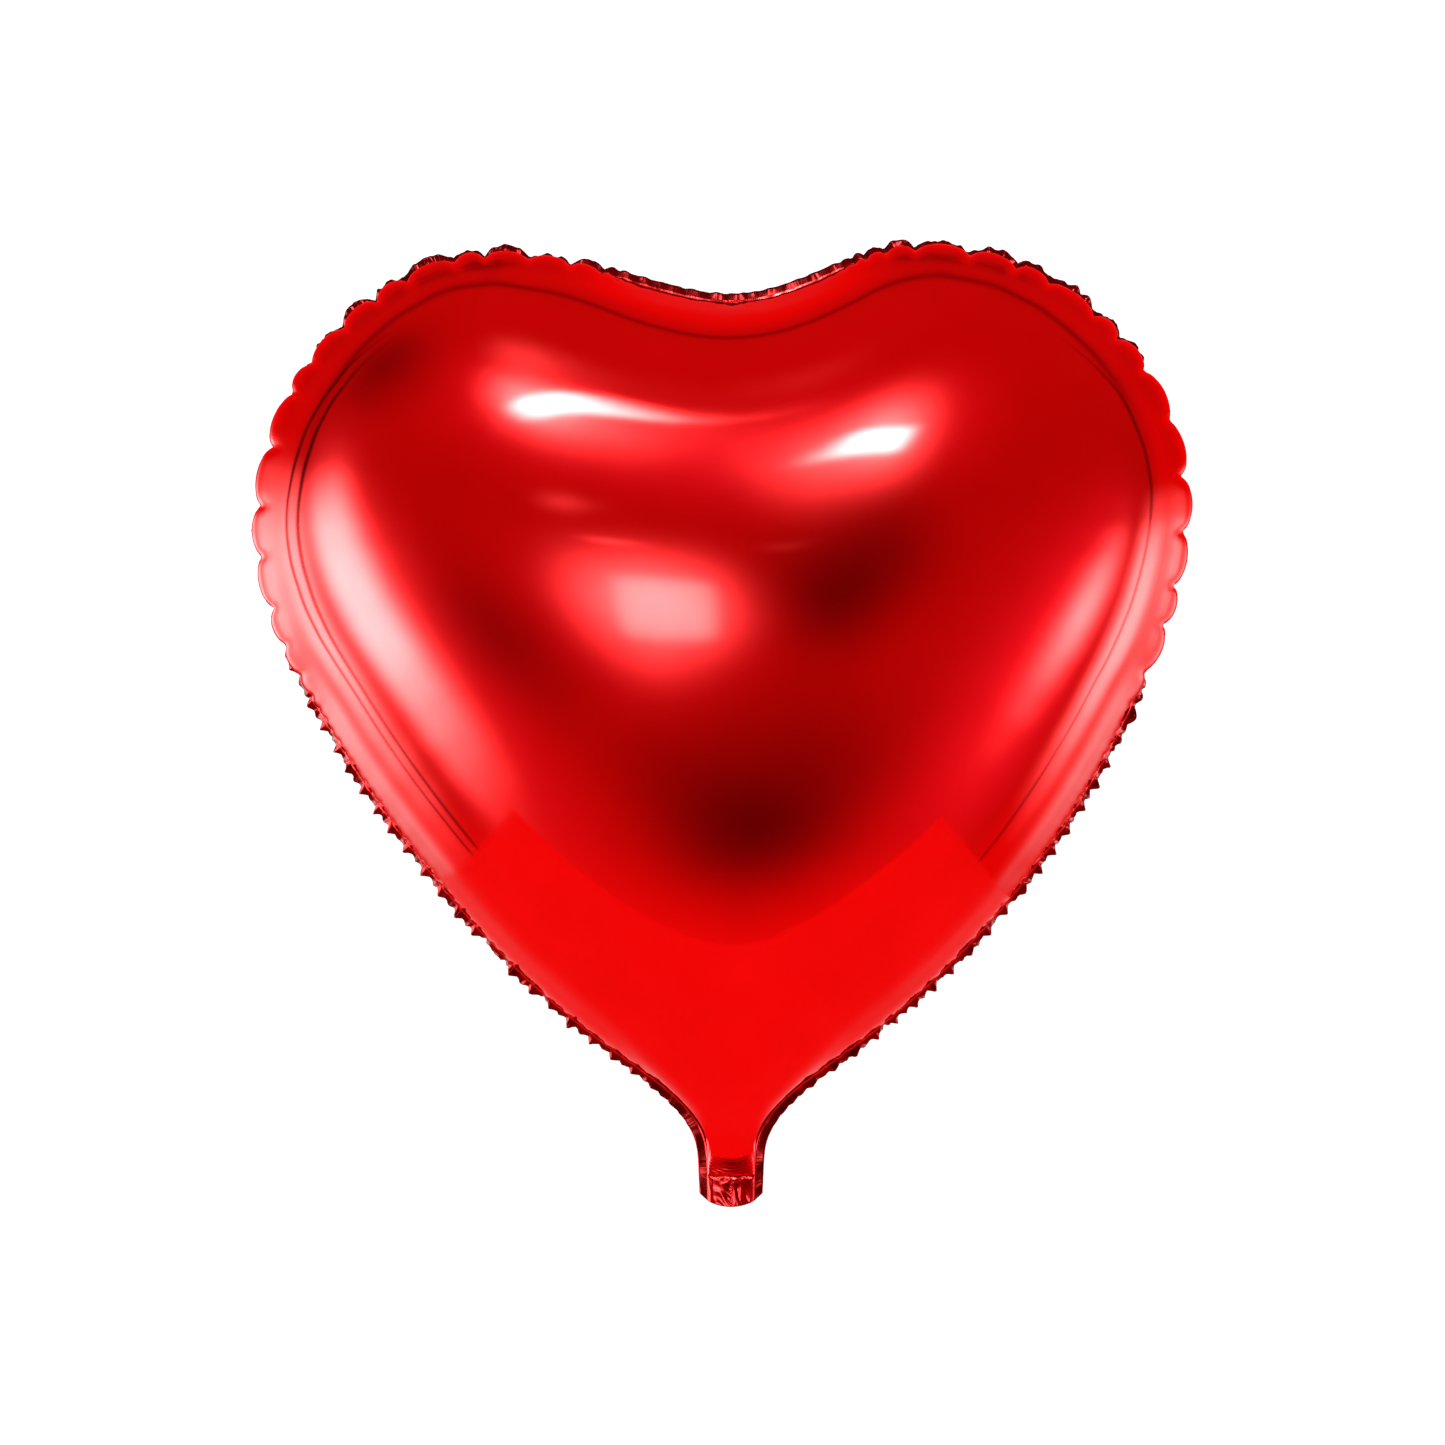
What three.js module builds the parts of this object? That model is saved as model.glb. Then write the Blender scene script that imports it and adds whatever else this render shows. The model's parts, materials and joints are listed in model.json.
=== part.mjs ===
// Heart-shaped foil balloon, inflated, in millimetres with +Z up and its front towards -Y.
// Two film panels are heat-sealed to each other round a flat border. The border runs down
// both sides of a short filling tail, whose open mouth holds a flat valve of two clear films.
// The origin is on the neck, between the panels, where a ribbon is tied.

import * as THREE from "three";

// Films. Each is thicker than the real one, which is a few hundredths of a millimetre.
const FILM = 0.5;
const VALVE_FILM = 0.25;
const GAP = 0.3; // between one film and the next

// Outer edge of the border. The left lobe is a little wider than the right one.
const NOTCH_Z = 343;
const LEFT = {
  side: -1,
  lobeX: 98,
  lobeZ: 362,
  lobeReach: [38, 48], // towards the notch, and towards the widest point
  wideX: 196,
  wideZ: 247,
  wideReach: 62,
};
const RIGHT = {
  side: 1,
  lobeX: 78,
  lobeZ: 365,
  lobeReach: [26, 66],
  wideX: 188.5,
  wideZ: 256,
  wideReach: 54,
};
const NOTCH_REACH = 28;
const WIDE_REACH_DOWN = 42;
const FLANK = new THREE.Vector2(110, 86); // a point on the straight flank
const FLANK_SLOPE = THREE.MathUtils.degToRad(49);
const FLANK_REACH = [84, 76];
const NECK_REACH = 30;

// Tail.
const TAIL_HALF_WIDTH = 13.6;
const TAIL_TOP_Z = -13;
const MOUTH_Z = -31.5; // lowest point of its rounded end
const MOUTH_CORNER_Z = -26;
const MOUTH_DEPTH = 4.5; // half the opening at the middle of the mouth

// Sealed border: wider along the tail than round the heart.
const BORDER_HEART = 3.5;
const BORDER_TAIL = 5.5;
const BORDER_CHANGE_Z = [-5, 40];

// Inflated shape.
const DEPTH = 93; // half the thickness of the fullest part
const TAIL_SWELLS_Z = [MOUTH_Z, 25]; // from its flattened mouth to the full shape
const RIB_STEPS = 10; // from the middle line out to the seal

// Valve.
const VALVE_HALF_WIDTH = [7, 10]; // in the tail, and at the free lips
const VALVE_Z = [-24, 78]; // lower end in the mouth, and lips inside the balloon
const VALVE_CLOSED_Z = -2; // above here the two films lie together
const VALVE_BOW = 3.2; // of each film at its lower end
const VALVE_STEPS = 16;
const VALVE_COLUMNS = 6;

const FOIL_RED = 0xd8001a;
const CLEAR_FILM = 0xdfe3e6;

const smooth = (value, low, high) => THREE.MathUtils.smoothstep(value, low, high);

// One side of the outer edge as curves from the mouth up to the notch. Each has a number of
// steps and the height of the middle line that the ribs of its last point start from.
function sideCurves({ side, lobeX, lobeZ, lobeReach, wideX, wideZ, wideReach }) {
  const at = (x, z) => new THREE.Vector2(side * x, z);
  const slope = new THREE.Vector2(side * Math.cos(FLANK_SLOPE), Math.sin(FLANK_SLOPE));
  const flank = at(FLANK.x, FLANK.y);
  const below = flank.clone().addScaledVector(slope, -FLANK_REACH[0]);
  const above = flank.clone().addScaledVector(slope, FLANK_REACH[1]);
  const corner = at(TAIL_HALF_WIDTH - 0.6, MOUTH_CORNER_Z);
  const tailTop = at(TAIL_HALF_WIDTH, TAIL_TOP_Z);
  const wide = at(wideX, wideZ);
  const lobe = at(lobeX, lobeZ);
  const notch = at(0, NOTCH_Z);
  const sealedNotchZ = NOTCH_Z - BORDER_HEART;
  const stretch = (steps, spineZ, ...corners) => {
    const straight = corners.length === 2;
    return { path: new THREE[straight ? "LineCurve" : "CubicBezierCurve"](...corners), steps, spineZ };
  };
  return [
    stretch(4, TAIL_TOP_Z, corner, tailTop),
    stretch(10, 78, tailTop, at(TAIL_HALF_WIDTH, TAIL_TOP_Z + NECK_REACH), below, flank),
    stretch(8, 190, flank, above, at(wideX, wideZ - WIDE_REACH_DOWN), wide),
    stretch(9, 290, wide, at(wideX, wideZ + wideReach), at(lobeX + lobeReach[1], lobeZ), lobe),
    stretch(6, sealedNotchZ, lobe, at(lobeX - lobeReach[0], lobeZ), at(NOTCH_REACH, NOTCH_Z), notch),
  ];
}

// Points of one side, each with the height on the middle line where its rib starts.
function sidePoints(spec) {
  const points = [];
  let spineFrom = MOUTH_Z;
  for (const { path, steps, spineZ } of sideCurves(spec)) {
    for (let i = points.length ? 1 : 0; i <= steps; i += 1) {
      const t = i / steps;
      points.push({ edge: path.getPoint(t), spineZ: THREE.MathUtils.lerp(spineFrom, spineZ, t) });
    }
    spineFrom = spineZ;
  }
  return points;
}

// Height of the tail's rounded end at a fraction of the way from its middle to its corner.
function roundedMouth(fraction) {
  return THREE.MathUtils.lerp(MOUTH_Z, MOUTH_CORNER_Z, fraction * fraction);
}

// Adds the line of the seal, which lies inside the outer edge by the width of the border.
function addSealLine(points, side) {
  const last = points.length - 1;
  points.forEach((point, i) => {
    const along = points[Math.min(i + 1, last)].edge.clone().sub(points[Math.max(i - 1, 0)].edge).normalize();
    if (i === last) along.set(-side, 0);
    const width = THREE.MathUtils.lerp(BORDER_TAIL, BORDER_HEART, smooth(point.edge.y, ...BORDER_CHANGE_Z));
    point.outward = new THREE.Vector2(along.y * side, -along.x * side);
    point.seal = point.edge.clone().addScaledVector(point.outward, -width);
    if (i === 0) point.seal.y = roundedMouth(point.seal.x / point.edge.x);
  });
  return points;
}

// Flat positions of the film inside the seal: rows across the balloon, from the mouth to the
// notch. Each row is a pair of ribs that leave the middle line level and curve to the seal.
function flatRows(left, right) {
  return left.map((leftPoint, row) => {
    const across = [];
    for (let k = -RIB_STEPS; k <= RIB_STEPS; k += 1) {
      const { seal, spineZ } = k < 0 ? leftPoint : right[row];
      const t = Math.sin((Math.PI / 2) * (Math.abs(k) / RIB_STEPS));
      across.push(new THREE.Vector2(seal.x * t, THREE.MathUtils.lerp(spineZ, seal.y, t * t)));
    }
    return across;
  });
}

// Two triangles for each cell of a grid of rows, given as point numbers.
function gridTriangles(rows, columns) {
  const triangles = [];
  for (let r = 0; r + 1 < rows; r += 1) {
    for (let c = 0; c + 1 < columns; c += 1) {
      const a = r * columns + c;
      triangles.push([a, a + 1, a + columns + 1], [a, a + columns + 1, a + columns]);
    }
  }
  return triangles;
}

// Stiffness between the corners of each flat triangle, for a membrane (cotangent weights).
function membraneLinks(points, triangles) {
  const links = [];
  const load = new Float64Array(points.length);
  for (const triangle of triangles) {
    const [a, b, c] = triangle.map((n) => points[n]);
    const area = Math.abs((b.x - a.x) * (c.y - a.y) - (c.x - a.x) * (b.y - a.y)) / 2;
    if (area < 1e-6) continue;
    for (let n = 0; n < 3; n += 1) {
      const [i, j, apex] = [triangle[n], triangle[(n + 1) % 3], points[triangle[(n + 2) % 3]]];
      const toI = points[i].clone().sub(apex);
      const toJ = points[j].clone().sub(apex);
      links.push([i, j, toI.dot(toJ) / (4 * area)]);
      load[i] += area / 3;
    }
  }
  return { links, load };
}

// Sag of a membrane held at its fixed points under an even load, by conjugate gradients.
function relaxMembrane(points, triangles, fixed) {
  const { links, load } = membraneLinks(points, triangles);
  const pull = (v) => {
    const out = new Float64Array(v.length);
    for (const [i, j, weight] of links) {
      out[i] += weight * (v[i] - v[j]);
      out[j] += weight * (v[j] - v[i]);
    }
    fixed.forEach((n) => { out[n] = 0; });
    return out;
  };
  const dot = (a, b) => a.reduce((sum, value, n) => sum + value * b[n], 0);
  const sag = new Float64Array(points.length);
  const rest = load.map((value, n) => (fixed.has(n) ? 0 : value));
  let step = rest.slice();
  let size = dot(rest, rest);
  for (let round = 0; round < points.length && size > 1e-9; round += 1) {
    const pulled = pull(step);
    const length = size / dot(step, pulled);
    sag.forEach((value, n) => { sag[n] = value + length * step[n]; });
    rest.forEach((value, n) => { rest[n] = value - length * pulled[n]; });
    const next = dot(rest, rest);
    step = step.map((value, n) => rest[n] + (next / size) * value);
    size = next;
  }
  return sag;
}

// Height of the inflated film over each flat point. The square root of a membrane's sag has
// the shape of inflated film: upright at the seal and rounder where the balloon is narrow.
function inflatedHeights(rows) {
  const columns = rows[0].length;
  const points = rows.flat();
  const onSeal = (n) => n % columns === 0 || n % columns === columns - 1 || n >= points.length - columns;
  const fixed = new Set(points.keys().filter(onSeal));
  const rise = relaxMembrane(points, gridTriangles(rows.length, columns), fixed).map(Math.sqrt);
  const fullest = Math.max(...rise);
  const mouthDepth = (rise[RIB_STEPS] * DEPTH) / fullest;
  return points.map((point, n) => {
    const swell = smooth(point.y, ...TAIL_SWELLS_Z);
    return ((rise[n] * DEPTH) / fullest) * THREE.MathUtils.lerp(MOUTH_DEPTH / mouthDepth, 1, swell);
  });
}

// Unit directions out of a grid of points in space, averaged from the cells round each one.
function gridNormals(points, triangles) {
  const normals = points.map(() => new THREE.Vector3());
  for (const [a, b, c] of triangles) {
    const across = points[c].clone().sub(points[a]).cross(points[b].clone().sub(points[a]));
    for (const n of [a, b, c]) normals[n].add(across);
  }
  return normals.map((normal) => normal.normalize());
}

// A closed body lofted through closed loops of points. A loop lists its two long sides one after
// the other, so that point i faces the i-th from its end. The first loop is filled. The last one
// is filled too, unless its halves meet and close it.
function loftedBody(loops, halvesMeet) {
  const count = loops[0].length;
  const positions = [];
  const face = (...corners) => {
    const area = corners[1].clone().sub(corners[0]).cross(corners[2].clone().sub(corners[0])).length();
    if (area > 1e-7) corners.forEach((corner) => positions.push(corner.x, corner.y, corner.z));
  };
  for (let r = 0; r + 1 < loops.length; r += 1) {
    for (let i = 0; i < count; i += 1) {
      const next = (i + 1) % count;
      face(loops[r][i], loops[r][next], loops[r + 1][next]);
      face(loops[r][i], loops[r + 1][next], loops[r + 1][i]);
    }
  }
  const fill = (loop, flip) => {
    for (let i = 0; i + 1 < count / 2; i += 1) {
      const [a, b, c, d] = [loop[i], loop[i + 1], loop[count - 2 - i], loop[count - 1 - i]];
      const faces = flip ? [[a, c, b], [a, d, c]] : [[a, b, c], [a, c, d]];
      faces.forEach((corners) => face(...corners));
    }
  };
  fill(loops[0], true);
  if (!halvesMeet) fill(loops[loops.length - 1], false);
  const geometry = new THREE.BufferGeometry();
  geometry.setAttribute("position", new THREE.Float32BufferAttribute(positions, 3));
  return geometry;
}

// Closed loops round the back panel's film, from the mouth to the notch, where left and right
// meet. Each runs along the face towards the gas and the seam, and comes back along the outside.
function panelLoops(left, right) {
  const rows = flatRows(left, right);
  const columns = rows[0].length;
  const heights = inflatedHeights(rows);
  const inside = rows.flat().map((p, n) => new THREE.Vector3(p.x, GAP / 2 + heights[n], p.y));
  const normals = gridNormals(inside, gridTriangles(rows.length, columns));
  const seam = (p) => new THREE.Vector3(p.x, GAP / 2, p.y);
  const outer = (p) => new THREE.Vector3(p.x, GAP / 2 + FILM, p.y);
  return rows.map((row, r) => {
    const inner = inside.slice(r * columns, (r + 1) * columns);
    const over = inner.map((p, c) => p.clone().addScaledVector(normals[r * columns + c], FILM));
    over[0] = outer(left[r].seal.clone().addScaledVector(left[r].outward, FILM));
    over[columns - 1] = outer(right[r].seal.clone().addScaledVector(right[r].outward, FILM));
    if (r === rows.length - 1) over.fill(over[0]);
    return [
      seam(left[r].edge), ...inner, seam(right[r].edge),
      outer(right[r].edge), ...over.reverse(), outer(left[r].edge),
    ];
  });
}

// Turns a body of the back into its mirror image in front of the seam, faces still outwards.
function mirrorToFront(geometry) {
  const position = geometry.getAttribute("position");
  const corner = new THREE.Vector3();
  const swapped = new THREE.Vector3();
  geometry.scale(1, -1, 1);
  for (let n = 0; n < position.count; n += 3) {
    corner.fromBufferAttribute(position, n + 1);
    swapped.fromBufferAttribute(position, n + 2);
    position.setXYZ(n + 1, ...swapped);
    position.setXYZ(n + 2, ...corner);
  }
  return geometry;
}

function panelBody() {
  const left = addSealLine(sidePoints(LEFT), LEFT.side);
  const right = addSealLine(sidePoints(RIGHT), RIGHT.side);
  return loftedBody(panelLoops(left, right), true);
}

// The back film of the valve. It lines the tail at the mouth, and lies against the front film
// from the neck up, where the gas presses the pair shut.
function valveFilmBody() {
  const loops = [];
  for (let r = 0; r <= VALVE_STEPS; r += 1) {
    const t = r / VALVE_STEPS;
    const z = THREE.MathUtils.lerp(VALVE_Z[0], VALVE_Z[1], t * t * (1.5 - 0.5 * t));
    const halfWidth = THREE.MathUtils.lerp(...VALVE_HALF_WIDTH, smooth(z, VALVE_CLOSED_Z, VALVE_Z[1]));
    const open = 1 - smooth(z, VALVE_Z[0], VALVE_CLOSED_Z);
    const inner = [];
    const outer = [];
    for (let c = 0; c <= VALVE_COLUMNS; c += 1) {
      const across = (2 * c) / VALVE_COLUMNS - 1;
      const bow = VALVE_BOW * open * (1 - across ** 4);
      inner.push(new THREE.Vector3(across * halfWidth, GAP / 2 + bow, z));
      outer.push(new THREE.Vector3(across * halfWidth, GAP / 2 + bow + VALVE_FILM, z));
    }
    loops.push([...inner, ...outer.reverse()]);
  }
  return loftedBody(loops, false);
}

const foil = new THREE.MeshStandardMaterial({ color: FOIL_RED, roughness: 0.12, metalness: 1 });
const clear = new THREE.MeshStandardMaterial({ color: CLEAR_FILM, roughness: 0.3, metalness: 0 });

const balloon = new THREE.Group();
function addPiece(name, geometry, material) {
  const mesh = new THREE.Mesh(geometry, material);
  mesh.name = name;
  balloon.add(mesh);
}

addPiece("front_panel", mirrorToFront(panelBody()), foil);
addPiece("back_panel", panelBody(), foil);
addPiece("valve_film_front", mirrorToFront(valveFilmBody()), clear);
addPiece("valve_film_back", valveFilmBody(), clear);

export default balloon;
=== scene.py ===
"""Heart-shaped red foil balloon: mirror-bright film panels, their crinkled sealed border, and
the filling tail with its clear valve films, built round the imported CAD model. Metres, +Z up,
front towards -Y. The origin is on the neck."""

import json
import math

import bmesh
import bpy
import numpy as np
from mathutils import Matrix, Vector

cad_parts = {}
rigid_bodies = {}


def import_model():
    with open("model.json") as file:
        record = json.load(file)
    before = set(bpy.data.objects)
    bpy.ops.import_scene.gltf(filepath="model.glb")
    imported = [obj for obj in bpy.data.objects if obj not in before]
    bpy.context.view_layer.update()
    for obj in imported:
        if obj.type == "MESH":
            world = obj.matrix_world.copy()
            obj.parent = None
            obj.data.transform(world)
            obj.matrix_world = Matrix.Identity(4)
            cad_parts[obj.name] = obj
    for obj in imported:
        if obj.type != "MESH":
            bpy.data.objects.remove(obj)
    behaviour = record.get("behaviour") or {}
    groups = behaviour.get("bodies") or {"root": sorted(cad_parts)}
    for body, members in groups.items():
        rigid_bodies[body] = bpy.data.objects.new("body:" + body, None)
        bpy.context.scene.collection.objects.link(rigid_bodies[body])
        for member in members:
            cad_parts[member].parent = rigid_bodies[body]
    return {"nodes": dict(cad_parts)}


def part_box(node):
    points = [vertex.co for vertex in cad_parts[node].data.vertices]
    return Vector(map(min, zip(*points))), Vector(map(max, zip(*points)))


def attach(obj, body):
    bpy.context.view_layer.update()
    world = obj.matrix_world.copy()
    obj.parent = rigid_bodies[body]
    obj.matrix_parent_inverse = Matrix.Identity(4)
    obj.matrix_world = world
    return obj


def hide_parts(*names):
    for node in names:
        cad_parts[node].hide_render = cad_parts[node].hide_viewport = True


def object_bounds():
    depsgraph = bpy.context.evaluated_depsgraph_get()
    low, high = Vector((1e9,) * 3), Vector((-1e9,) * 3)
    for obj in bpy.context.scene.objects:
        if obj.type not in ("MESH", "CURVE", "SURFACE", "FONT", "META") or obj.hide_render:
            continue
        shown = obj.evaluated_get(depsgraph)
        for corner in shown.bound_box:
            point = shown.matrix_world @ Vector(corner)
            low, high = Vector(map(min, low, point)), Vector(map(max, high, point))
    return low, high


for leftover in list(bpy.data.objects):
    bpy.data.objects.remove(leftover)
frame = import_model()
cad_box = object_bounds()

MM = 0.001
SEED = 1407

# Films.
FILM = 0.06 * MM
VALVE_FILM = 0.05 * MM
SEAM_OFFSET = 0.05 * MM  # from the middle of the fused border to either film

# Mesh. Ribs run from the seam to the middle line, and their steps are short near the seam.
RIBS = 720  # on each side of the heart, at the seam
TAIL_RIBS = 124
TAIL_SHARE = 0.075  # how far up each side the tail's own ribs go
BORDER_COLUMNS = 5
ZONE_TURNS = (0.14, 0.4, 0.93, math.pi / 2)  # where each zone of a rib ends, as a turn from the seam
ZONE_COLUMNS = (9, 8, 10, 11)
WELD = 0.002 * MM
EDGE_STEP = 0.2 * MM  # to either side of a point, to find the outline's direction
# Where on the middle line a rib starts, against how far up its side it ends.
SPINE_ENDS = (0.0, 0.022, 0.087, 0.26, 0.45, 0.57, 0.665, 0.84, 0.94, 1.0)
SPINE_STARTS = (0.0, 0.047, 0.177, 0.425, 0.646, 0.74, 0.797, 0.886, 0.953, 1.0)

# Solving the membrane. The least values keep its divisions safe.
SOLVE_RIBS = 96
SOLVE_COLUMNS = 18
SOLVE_STEPS = 4000
SOLVE_GOAL = 1e-18
LEAST_AREA = 1e-14
LEAST_STIFFNESS = 1e-9

# Heights that split the balloon into regions. A pair says where one starts and where it is full.
CREASE_Z = -19 * MM
TAIL_TOP = -5 * MM
HEART_START = 40 * MM
PILLOWS_START = (165 * MM, 200 * MM)
LOBE_TOP = (300 * MM, 345 * MM)
NOTCH_START = (280 * MM, 300 * MM)
NOTCH_HALF = (35 * MM, 75 * MM)  # how far to either side of the middle the notch goes

# Border: the full width of the fused film, and how much of it shows from in front.
BORDER_WIDTH = 4.2 * MM
BORDER_TUCKED = 2.8 * MM  # where it is folded back behind the lobes' sides
BORDER_TAIL = 3.8 * MM
SHOWN_FLANK = 2.4 * MM
SHOWN_NOTCH = 3.6 * MM
SHOWN_LOBE = 0.9 * MM
SHOWN_TOP = 3.0 * MM
SEAM_DROP = 3.6 * MM  # brings the seam's two ends down to the mouth
SEAM_DROP_SHARE = 0.02  # of each side, where it does so

# The border's unevenness.
WIDTH_WOBBLE = 0.04
WIDTH_WAVE = 7 * MM
TOOTH_FOOT = 0.5  # width of the flanks' border between two teeth, as a share of the full width
TOOTH_RISE = 0.56  # how much a tooth adds to that
TOOTH_PEAK = 0.64  # where a tooth's tip is, on the way from one pinch to the next
TOOTH_DRAG = 0.4 * MM
PLEAT_LOBE = 0.24 * MM
PLEAT_FLANK = 0.14 * MM
PLEAT_WAVE = 2.8 * MM
CURL = 0.15  # radians, out to the border's edge
CURL_WAVE = 8 * MM
NOTCH_CALM = 0.7  # share of the curl and the pleats that the notch lacks

# The border's tilt out of the balloon's plane, in radians: its mean, and how much it follows the
# lean of the pinches, the teeth, and a slow wandering.
TILT_FLANK = (0.7, 0.0, 0.3, 0.2)
TILT_LOBE = (1.2, 0.15, 0.0, 0.1)
TILT_TOP = (0.55, 0.0, 0.25, 0.2)
TILT_NOTCH = (0.5, 0.0, 0.05, 0.0)
TILT_TAIL = (0.0, 0.12, 0.0, 0.0)
WANDER_WAVE = 38 * MM

# Pinches of the seam.
PITCH_FLANK = 5.3 * MM
PITCH_LOBE = 19.0 * MM
PITCH_FINE = 5.0 * MM  # in the tail and at the notch
UNEVEN_FLANK = 0.14
UNEVEN_LOBE = 0.33
STRENGTHS = (0.55, 1.25)
REACHES = (0.7, 1.5)
SWAY_FLANK = 0.2 * MM  # how far a pinch pushes the seam forwards or back
SWAY_LOBE = 0.9 * MM
SWAY_FADE = 9 * MM
SCALLOP = 3.6 * MM  # how far each pinch draws the seam in
SCALLOP_SHARPNESS = 2.0
SCALLOP_FADE = 13 * MM

# The inflated height.
DEPTH_SPARE = 0.4 * MM  # kept free inside the CAD's depth
RIM_LOSS = 20.0 * MM  # what the straight, puckered rim costs the film just inside it
LEAST_LOSS = 0.1 * MM  # keeps a division safe
MOUTH_DEPTH = 2.2 * MM
CREASE_FULLNESS = 0.7  # depth at the tail's crease, as a share of the mouth's
SWELLING = (CREASE_Z - 2 * MM, 14 * MM)  # heights between which the tail grows to the full depth

# Pillows between the pinches of the lobes, and the creases that part them.
PILLOW_SWELL = 3.2 * MM
PILLOW_PEAK = 7.0 * MM  # how far from the seam they are highest
PILLOW_SIZES = (0.86, 1.105)  # beside pinches of strength 0 and 1
FLANK_SWELL = 0.8 * MM
CREASE_DEPTH = 0.4  # share of a pillow's swell
CREASE_SHARPNESS = (2.0, 7.0)
CREASE_SHARPENS = (3 * MM, 11 * MM)  # from the seam, where the sharpness goes from one to the other
CREASE_FADES = (5 * MM, 10 * MM)
CREASE_LONGER = 7 * MM  # added to the fading's end for each unit of a pinch's reach

# Fine gathers of the flanks and the notch.
GATHER = 0.6 * MM
GATHER_PEAK = 2 * MM
GATHER_SHARPNESS = 2.4
GATHER_NOTCH = 0.75  # share of them that the notch lacks

# Slow unevenness of the film: some near the seam, and a broader one all over.
NEAR = 0.1 * MM
NEAR_WAVE = 24 * MM
NEAR_STRETCH = 0.25  # makes these ripples longer away from the seam
NEAR_START = (2 * MM, 14 * MM)
NEAR_FADE = 40 * MM
BROAD = 0.18 * MM
BROAD_WAVE = 95 * MM
BROAD_START = (5 * MM, 60 * MM)
OUTWARDS_REACH = 40 * MM  # how far from the seam the film still swells partly outwards
LEAST_FORWARDS = 0.25

# Folds of the tail: the crease across it, the crumpled end below, and a fine hatching above.
CREASE_WANDER = 0.35 * MM
CREASE_WAVE = 9 * MM
CREASE_HALF = 0.5 * MM
CREASE_DIP = 0.9 * MM
# Half width of the rough, folded line along the crease whose colour is darkened as painted shade.
CREASE_SHADE_AND_DULL_HALF = 0.6 * MM
END_START = (0.3 * MM, 0.9 * MM)  # below the crease, where the crumpled end starts and is full
CRUMPLE = 0.14 * MM
CRUMPLE_WAVE = 5.5 * MM
CRUMPLE_SHARPNESS = 2.2
HATCH = 0.1 * MM
HATCH_PITCH = 1.3 * MM
HATCH_BEND = 26 * MM
HATCH_START = 1 * MM
HATCH_FADES = (4 * MM, 9 * MM)
SLACK = 0.1 * MM
SLACK_WAVE = 13 * MM
HELD = 1.2 * MM  # the folds fade out this close to the seam's plane

# Valve.
VALVE_ROWS = 150
VALVE_COLUMNS = 30
VALVE_HALF = (7 * MM, 10 * MM)
VALVE_CLOSED = -2 * MM
VALVE_GAP = 0.16 * MM
VALVE_BOW = 0.3 * MM
VALVE_COCKLE = 0.07 * MM
VALVE_WAVE = 9 * MM

# Looks of the films. Scales are those of the noise that varies a look.
NOISE_RANGE = (0.3, 0.7)  # the part of the noise that a look is spread over
HAZE_SCALE = 14.0
TONE_SCALE = 22.0
FOIL_DEEP = (0.82, 0.0012, 0.0012, 1.0)
FOIL_BRIGHT = (0.9, 0.0016, 0.0016, 1.0)
FOIL_GRAZING = (1.0, 0.53, 0.53, 1.0)  # tint of what it mirrors at a grazing angle
FOIL_ROUGH = (0.05, 0.085)
TONE_RANGE = (0.25, 0.75)
BORDER_ROUGHER = 0.09
# Painted shade: the share by which the colour of the border, the tail's crease and its crumpled end is
# darkened.
BORDER_PAINTED_SHADE = 0.8
END_CRUMPLED_AND_SHADED = 0.5  # how far the tail's end is as crinkled, rough and darkened by painted shade as the border
LINE_SCALE = 420.0
LINE_STRETCH = 0.08
LINE_REACH = 50 * MM
LINE_HEIGHT = 0.06
FOLD_STRETCH = 0.12
FOLD_HEIGHT = 1.5
FOIL_BUMP = 0.12 * MM
CLEAR_TINT = (0.86, 0.88, 0.9, 1.0)
CLEAR_ROUGH = (0.18, 0.34)
CLEAR_ROUGH_SCALE = 160.0
CLEAR_ALPHA = (0.34, 0.5)
CLEAR_ALPHA_SCALE = 60.0
CLEAR_IOR = 1.5
CLEAR_BUMP = 0.1 * MM
CLEAR_BUMP_STRENGTH = 0.6
CLEAR_BUMP_SCALE = 420.0

# Floor and camera.
FLOOR_COLOUR = (0.82, 0.82, 0.81, 1.0)
FLOOR_ROUGH = (0.7, 0.85)
FLOOR_SCALE = 3.0
FLOOR_X = 1.0
FLOOR_FRONT = -0.57
FLOOR_BACK = 2.6
FLOOR_Z = -0.62
CAMERA_AT = (-0.0035, -2.6, 0.167)
VIEW_WIDTH = 0.5925
SENSOR = 36.0

# Soft lights all round, as seen from the balloon: bearing from straight in front (-Y) towards +X,
# height above the horizon, half width and half height in degrees, roll, how square, and strength.
# Lamps are far brighter than the room and show in the foil as white; glows are wide and faint.
LAMPS = (
    (-16.8, 50.8, 8.2, 2.6, 47, 2, 950.0),
    (-21, 48.5, 6.4, 7.2, 0, 1, 240.0),
    (-24, 65, 5.5, 7.0, 0, 1, 24.0),
    (15.4, 39.8, 5.0, 3.6, -21, 2, 950.0),
    (16, 40.8, 6.0, 9.2, 0, 1, 220.0),
    (-8.7, 4.6, 6.0, 5.2, 0, 3, 150.0),
    (-10.8, 5.2, 8.2, 7.4, 0, 1, 140.0),
    (-74.5, -8, 12.0, 20.0, 22, 1.5, 360.0),
    (-75, -6, 15.0, 20.0, 22, 1, 50.0),
    (-107, -10, 12.0, 17.0, 0, 1.5, 200.0),
    (-108, -24, 14.0, 7.0, 0, 1, 60.0),
    (-128, -10, 15.0, 17.0, 0, 1.5, 36.0),
    (75.5, -11.5, 6.5, 10.0, -46, 1, 200.0),
    (107, -13, 10.0, 12.5, 0, 1.5, 190.0),
    (126, -13, 15.0, 12.5, 0, 1.5, 22.0),
    (-19.5, 24, 3.2, 1.7, 25, 1, 14.0),
    (-14.4, 17, 2.8, 0.7, 0, 1, 30.0),
    (8.3, 18.2, 2.8, 0.7, 0, 1, 6.0),
)
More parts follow.
